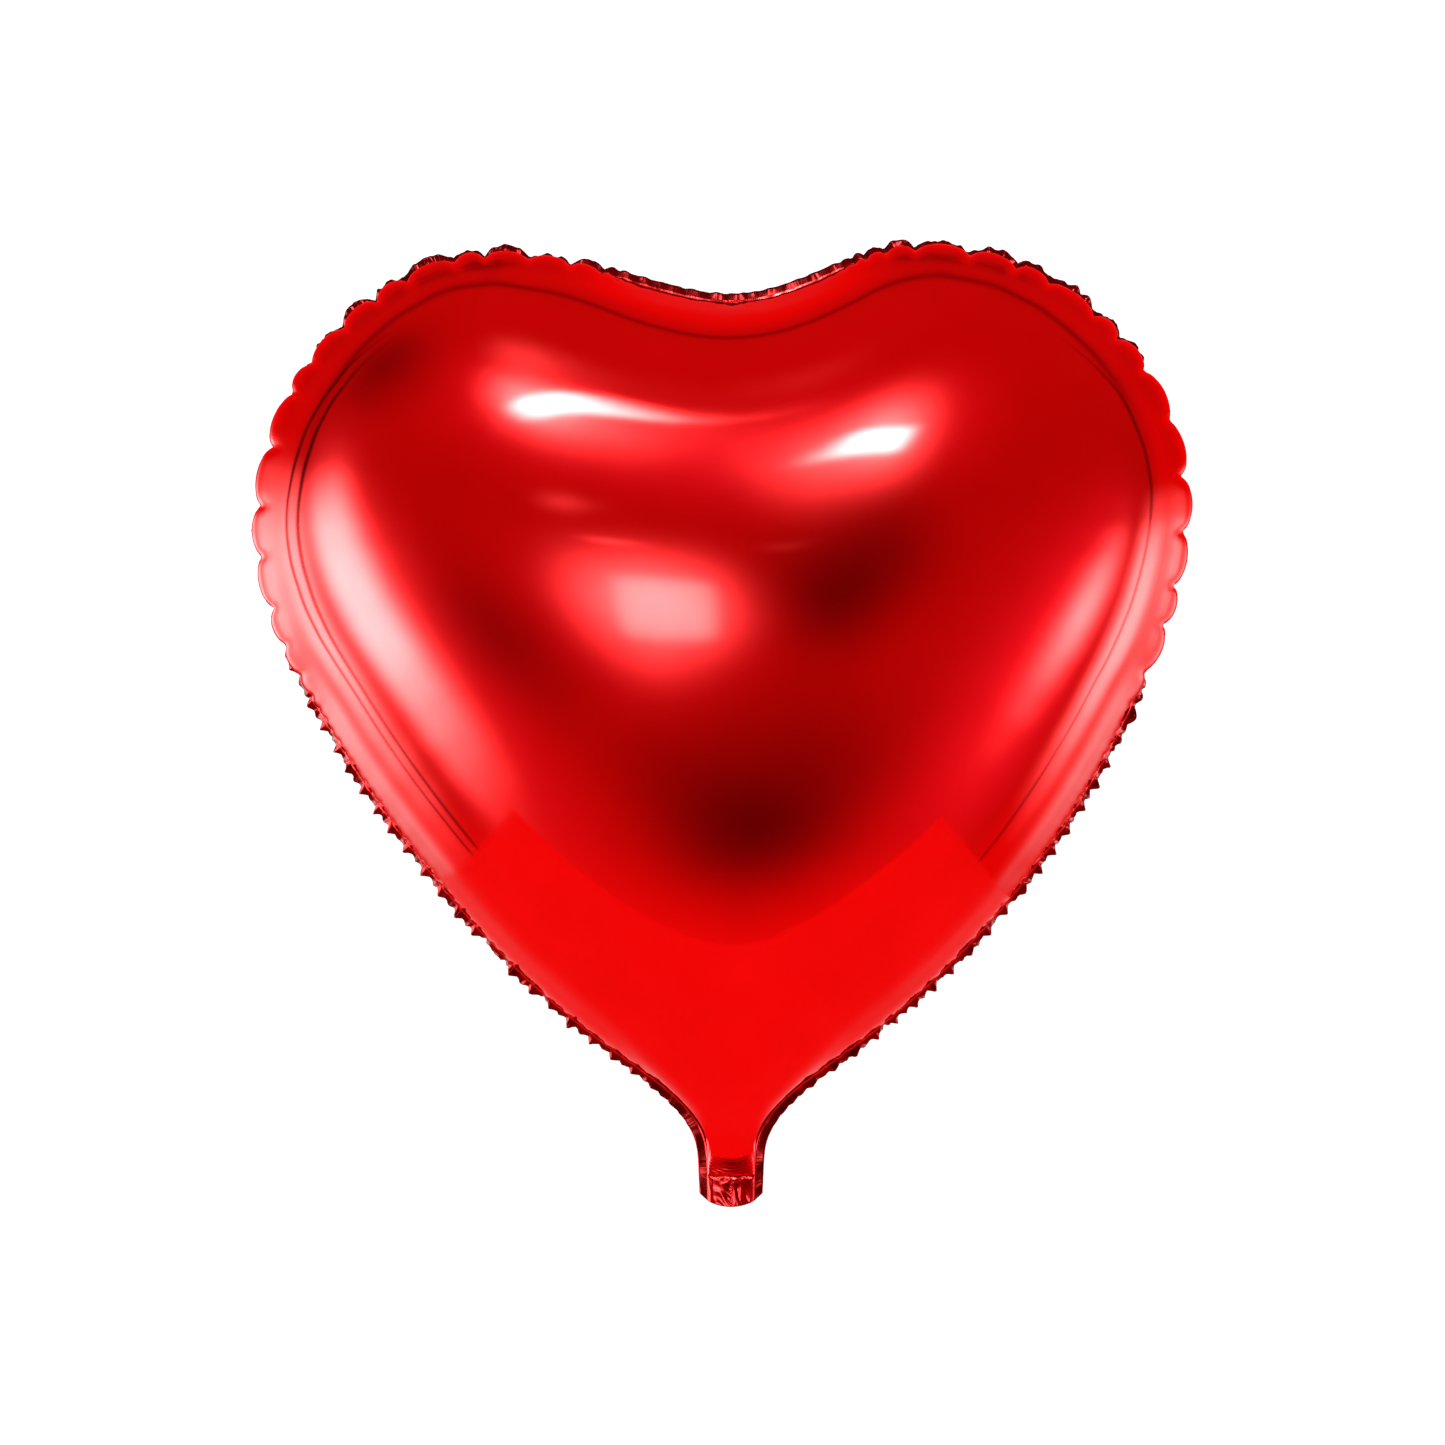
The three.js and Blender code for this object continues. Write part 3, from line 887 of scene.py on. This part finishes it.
def build_valve(name, face):
    """One clear film of the valve: open at the mouth, closed flat from the neck up, and
    slightly cockled where the gas presses it against the other film."""
    node_low, node_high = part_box(name)
    t = np.linspace(0.0, 1.0, VALVE_ROWS + 1)[:, None]
    across = np.linspace(-1.0, 1.0, VALVE_COLUMNS + 1)[None, :]
    z = mix(node_low[2], node_high[2], t) * np.ones_like(across)
    half = mix(*VALVE_HALF, smooth(z, VALVE_CLOSED, node_high[2]))
    opened = 1.0 - smooth(z, node_low[2], VALVE_CLOSED)
    x = across * half
    y = face * (VALVE_GAP + VALVE_BOW * opened * (1.0 - across**4))
    cockle = ripples(np.stack([x, z], axis=-1), VALVE_WAVE, SEED + 31)
    y = y + VALVE_COCKLE * cockle * (1.0 - opened)
    mesh = PanelMesh(face)
    mesh.join(mesh.add(np.stack([x, y, z], axis=-1)), 1)
    data = bpy.data.meshes.new(name + "_sheet")
    data.from_pydata(np.concatenate(mesh.corners).tolist(), [], [tuple(f) for f in mesh.faces])
    for one in data.polygons:
        one.use_smooth = True
    piece = show(name + "_sheet", data)
    thicken(piece, VALVE_FILM)
    return piece


# ---- Materials ----------------------------------------------------------------------------


class Nodes:
    """Short calls for building one node tree."""

    def __init__(self, tree):
        self.tree = tree
        tree.nodes.clear()

    def new(self, kind, inputs=(), **settings):
        """A node with its settings, and its inputs linked or set."""
        node = self.tree.nodes.new(kind)
        for key, value in settings.items():
            setattr(node, key, value)
        for key, value in dict(inputs).items():
            if isinstance(value, bpy.types.NodeSocket):
                self.tree.links.new(value, node.inputs[key])
            else:
                node.inputs[key].default_value = value
        return node

    def math(self, operation, *values):
        return self.new("ShaderNodeMath", enumerate(values), operation=operation).outputs[0]

    def rest(self, share):
        """What a share leaves of 1."""
        return self.math("SUBTRACT", 1.0, share)

    def dot(self, vector, way):
        node = self.new("ShaderNodeVectorMath", {0: vector, 1: way}, operation="DOT_PRODUCT")
        return node.outputs["Value"]

    def scaled(self, vector, factor):
        node = self.new("ShaderNodeVectorMath", {0: vector, "Scale": factor}, operation="SCALE")
        return node.outputs[0]

    def plus(self, first, second):
        return self.new("ShaderNodeVectorMath", {0: first, 1: second}, operation="ADD").outputs[0]

    def vector(self, **parts):
        return self.new("ShaderNodeCombineXYZ", parts).outputs[0]

    def noise(self, vector, scale, detail):
        inputs = {"Vector": vector, "Scale": scale, "Detail": detail}
        return self.new("ShaderNodeTexNoise", inputs).outputs["Fac"]

    def spread(self, value, low, high, to_low, to_high):
        """The value, clamped and carried from the first range to the second."""
        inputs = {"Value": value, "From Min": low, "From Max": high, "To Min": to_low, "To Max": to_high}
        return self.new("ShaderNodeMapRange", inputs, clamp=True).outputs[0]

    def cloudy(self, place, scale, detail, limits):
        """Noise between two limits."""
        return self.spread(self.noise(place, scale, detail), *NOISE_RANGE, *limits)

    def bump(self, strength, distance, height):
        inputs = {"Strength": strength, "Distance": distance, "Height": height}
        return self.new("ShaderNodeBump", inputs).outputs[0]

    def attribute(self, name):
        return self.new("ShaderNodeAttribute", attribute_name=name).outputs["Fac"]

    def surface(self, inputs):
        """Ends the material in one principled shader."""
        shader = self.new("ShaderNodeBsdfPrincipled", inputs)
        self.new("ShaderNodeOutputMaterial", {"Surface": shader.outputs[0]})


def start_material(name):
    """A new material, its nodes, and the place on the object."""
    material = bpy.data.materials.new(name)
    material.use_nodes = True
    nodes = Nodes(material.node_tree)
    return material, nodes, nodes.new("ShaderNodeTexCoord").outputs["Object"]


def foil_material():
    """Aluminium-backed film under a clear red lacquer: almost a mirror, hazier in patches, with
    faint stretch lines running in from the seam and a crinkled, rougher border with painted shade."""
    material, nodes, place = start_material("red_foil")
    border = nodes.attribute("border")
    from_seam = nodes.attribute("from_seam")
    along = nodes.attribute("along_seam")

    rough = nodes.cloudy(place, HAZE_SCALE, 3.0, FOIL_ROUGH)
    rough = nodes.math("ADD", rough, nodes.math("MULTIPLY", border, BORDER_ROUGHER))
    tone = nodes.spread(nodes.noise(place, TONE_SCALE, 4.0), *TONE_RANGE, 0.0, 1.0)
    ends = {"Factor": tone, "A": FOIL_DEEP, "B": FOIL_BRIGHT}
    tint = nodes.new("ShaderNodeMix", ends, data_type="RGBA").outputs["Result"]
    # Painted shade: the border, the tail's crease and its crumpled end are darkened, for the dark room
    # their crinkles mirror and the shade in the fold.
    colour = nodes.scaled(tint, nodes.rest(nodes.math("MULTIPLY", border, BORDER_PAINTED_SHADE)))

    # Stretch lines: noise drawn out across the seam, strong near it and gone 50 mm in.
    lines_at = nodes.vector(X=along, Y=nodes.math("MULTIPLY", from_seam, LINE_STRETCH))
    near = nodes.spread(from_seam, 0.0, LINE_REACH, 1.0, 0.0)
    lines = nodes.math("MULTIPLY", nodes.noise(lines_at, LINE_SCALE, 2.0), near)
    lines = nodes.math("MULTIPLY", lines, LINE_HEIGHT)

    # The border's fine folds, drawn out across it too.
    folds_at = nodes.vector(X=along, Y=nodes.dot(place, (0.0, FOLD_STRETCH, 0.0)))
    folds = nodes.math("MULTIPLY", nodes.noise(folds_at, LINE_SCALE, 3.0), border)
    folds = nodes.math("MULTIPLY", folds, FOLD_HEIGHT)
    height = nodes.math("ADD", lines, folds)
    nodes.surface({
        "Base Color": colour, "Metallic": 1.0, "Roughness": rough,
        "Specular Tint": FOIL_GRAZING, "Normal": nodes.bump(1.0, FOIL_BUMP, height),
    })
    return material


def clear_material():
    """Clear, faintly milky polyethylene."""
    material, nodes, place = start_material("clear_film")
    wrinkles = nodes.noise(place, CLEAR_BUMP_SCALE, 3.0)
    nodes.surface({
        "Base Color": CLEAR_TINT, "IOR": CLEAR_IOR,
        "Roughness": nodes.cloudy(place, CLEAR_ROUGH_SCALE, 3.0, CLEAR_ROUGH),
        "Alpha": nodes.cloudy(place, CLEAR_ALPHA_SCALE, 2.0, CLEAR_ALPHA),
        "Normal": nodes.bump(CLEAR_BUMP_STRENGTH, CLEAR_BUMP, wrinkles),
    })
    return material


def floor_material():
    """Plain, pale and matt."""
    material, nodes, place = start_material("pale_floor")
    rough = nodes.cloudy(place, FLOOR_SCALE, 4.0, FLOOR_ROUGH)
    nodes.surface({"Base Color": FLOOR_COLOUR, "Roughness": rough})
    return material


# ---- The studio ---------------------------------------------------------------------------


def soft_patch(nodes, way, bearing, height, half_width, half_height, roll, square, strength):
    """Strength times a soft-edged patch round a bearing and height."""
    turn, lift, roll = math.radians(bearing), math.radians(height), math.radians(roll)
    forward = (math.sin(turn) * math.cos(lift), -math.cos(turn) * math.cos(lift), math.sin(lift))
    centre = np.array(forward)
    level = np.array([math.cos(turn), math.sin(turn), 0.0])
    right = level * math.cos(roll) + np.cross(level, -centre) * math.sin(roll)
    up = np.cross(right, -centre)
    ahead = nodes.dot(way, centre)
    total = 0.0
    for axis, half in ((right, half_width), (up, half_height)):
        off = nodes.math("DIVIDE", nodes.dot(way, axis), nodes.math("MAXIMUM", ahead, LEAST_AHEAD))
        off = nodes.math("ABSOLUTE", nodes.math("DIVIDE", off, math.tan(math.radians(half))))
        off = nodes.math("POWER", nodes.math("MINIMUM", off, MOST_OFF), 2.0 * square)
        total = nodes.math("ADD", total, off)
    patch = nodes.math("EXPONENT", nodes.math("MULTIPLY", total, -1.0))
    patch = nodes.math("MULTIPLY", patch, nodes.math("GREATER_THAN", ahead, LEAST_AHEAD))
    return nodes.math("MULTIPLY", patch, strength)


def build_world():
    """A pale studio: even white light, and in the foil's reflections soft lights, a backdrop
    behind the balloon and a few dark things."""
    world = bpy.data.worlds.new("studio")
    world.use_nodes = True
    nodes = Nodes(world.node_tree)
    way = nodes.new("ShaderNodeTexCoord").outputs["Generated"]
    way = nodes.new("ShaderNodeVectorMath", {0: way}, operation="NORMALIZE").outputs[0]
    height = nodes.math("ARCSINE", nodes.dot(way, (0.0, 0.0, 1.0)))
    level = ROOM_LEVELS[0][1]
    for (low, low_level), (high, high_level) in zip(ROOM_LEVELS, ROOM_LEVELS[1:]):
        gain = high_level - low_level
        change = nodes.spread(height, math.radians(low), math.radians(high), 0.0, gain)
        level = nodes.math("ADD", change, level)

    # Where the backdrop starts, a dark line overhead.
    inwards = nodes.dot(way, BACKDROP_WAY)
    behind = nodes.spread(inwards, *BACKDROP, 0.0, 1.0)
    line_at, line_half, line_strength = BACKDROP_LINE
    off = nodes.math("DIVIDE", nodes.math("SUBTRACT", inwards, line_at), line_half)
    line = nodes.math("EXPONENT", nodes.math("MULTIPLY", nodes.math("MULTIPLY", off, off), -1.0))
    starts, full = (math.radians(one) for one in OVERHEAD)
    overhead = nodes.spread(height, starts, full, 0.0, line_strength)
    level = nodes.math("MULTIPLY", level, nodes.rest(nodes.math("MULTIPLY", line, overhead)))
    for shade in SHADES:
        level = nodes.math("MULTIPLY", level, nodes.rest(soft_patch(nodes, way, *shade)))
    level = nodes.math("MULTIPLY", level, nodes.rest(behind))
    light = nodes.vector(X=level, Y=level, Z=level)
    light = nodes.plus(light, nodes.scaled(BACKDROP_COLOUR, behind))
    for patches, colour in ((LAMPS, LAMP_COLOUR), (GLOWS, GLOW_COLOUR)):
        total = 0.0
        for patch in patches:
            total = nodes.math("ADD", total, soft_patch(nodes, way, *patch))
        light = nodes.plus(light, nodes.scaled(colour, total))
    for pole in POLES:
        light = nodes.scaled(light, nodes.rest(soft_patch(nodes, way, *pole)))
    mirrored = nodes.new("ShaderNodeLightPath").outputs["Is Glossy Ray"]
    room = nodes.new("ShaderNodeBackground", {"Color": light, "Strength": 1.0})
    plain = nodes.new("ShaderNodeBackground", {"Color": WHITE, "Strength": PLAIN_LEVEL})
    both = nodes.new("ShaderNodeMixShader", {0: mirrored, 1: plain.outputs[0], 2: room.outputs[0]})
    nodes.new("ShaderNodeOutputWorld", {"Surface": both.outputs[0]})
    bpy.context.scene.world = world


def build_floor():
    """A plain floor under the balloon."""
    data = bpy.data.meshes.new("studio_floor")
    corners = [
        (-FLOOR_X, FLOOR_FRONT, FLOOR_Z), (FLOOR_X, FLOOR_FRONT, FLOOR_Z),
        (FLOOR_X, FLOOR_BACK, FLOOR_Z), (-FLOOR_X, FLOOR_BACK, FLOOR_Z),
    ]
    data.from_pydata(corners, [], [(0, 1, 2, 3)])
    data.materials.append(floor_material())
    floor = show("studio_floor", data)


def build_camera():
    """A camera straight in front, that takes in VIEW_WIDTH at the balloon."""
    camera = show("camera", bpy.data.cameras.new("camera"))
    camera.location = CAMERA_AT
    camera.rotation_euler = (math.radians(90.0), 0.0, 0.0)
    camera.data.sensor_width = SENSOR
    camera.data.lens = SENSOR * -CAMERA_AT[1] / VIEW_WIDTH
    bpy.context.scene.camera = camera


# ---- Everything together ------------------------------------------------------------------

bpy.context.scene.view_settings.view_transform = "Standard"
foil = foil_material()
clear = clear_material()
for name, face in (("front", -1), ("back", 1)):
    panel = build_panel(f"{name}_foil", face)
    panel.data.materials.append(foil)
    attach(panel, "root")
    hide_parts(f"{name}_panel")
    valve = build_valve(f"valve_film_{name}", face)
    valve.data.materials.append(clear)
    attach(valve, "root")
    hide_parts(f"valve_film_{name}")
build_world()
build_floor()
build_camera()
